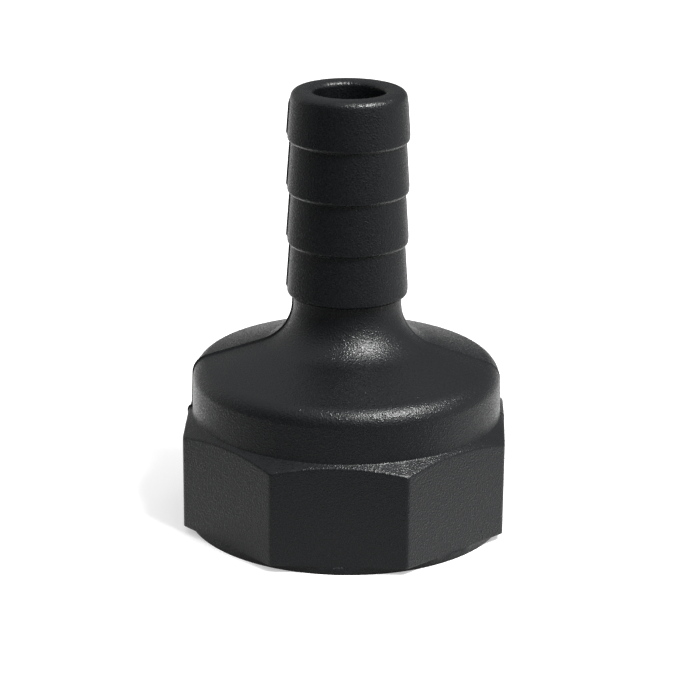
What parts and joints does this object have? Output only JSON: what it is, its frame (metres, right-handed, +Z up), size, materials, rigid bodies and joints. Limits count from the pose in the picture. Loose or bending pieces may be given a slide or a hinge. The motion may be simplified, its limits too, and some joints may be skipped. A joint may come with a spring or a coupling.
{
  "type": "hose tail adapter",
  "caption": "Black moulded hose tail adapter for a through-hull fitting: threaded octagonal socket below a round dome, narrow neck and barbed hose tail.",
  "frame": {"origin": "centre of the mouth's rim, on the surface that the adapter stands on", "axes": "+Z up the axis towards the end of the hose tail; -Y is square to the front spanner flat; the parting line lies in the XZ plane"},
  "size_m": [0.0364, 0.0362, 0.0498],
  "materials": {
    "black_nylon": "matt black glass-filled nylon with a fine grain that glints in the highlights"
  },
  "bodies": {
    "root": {"hose_tail_adapter": "black_nylon"}
  },
  "joints": []
}
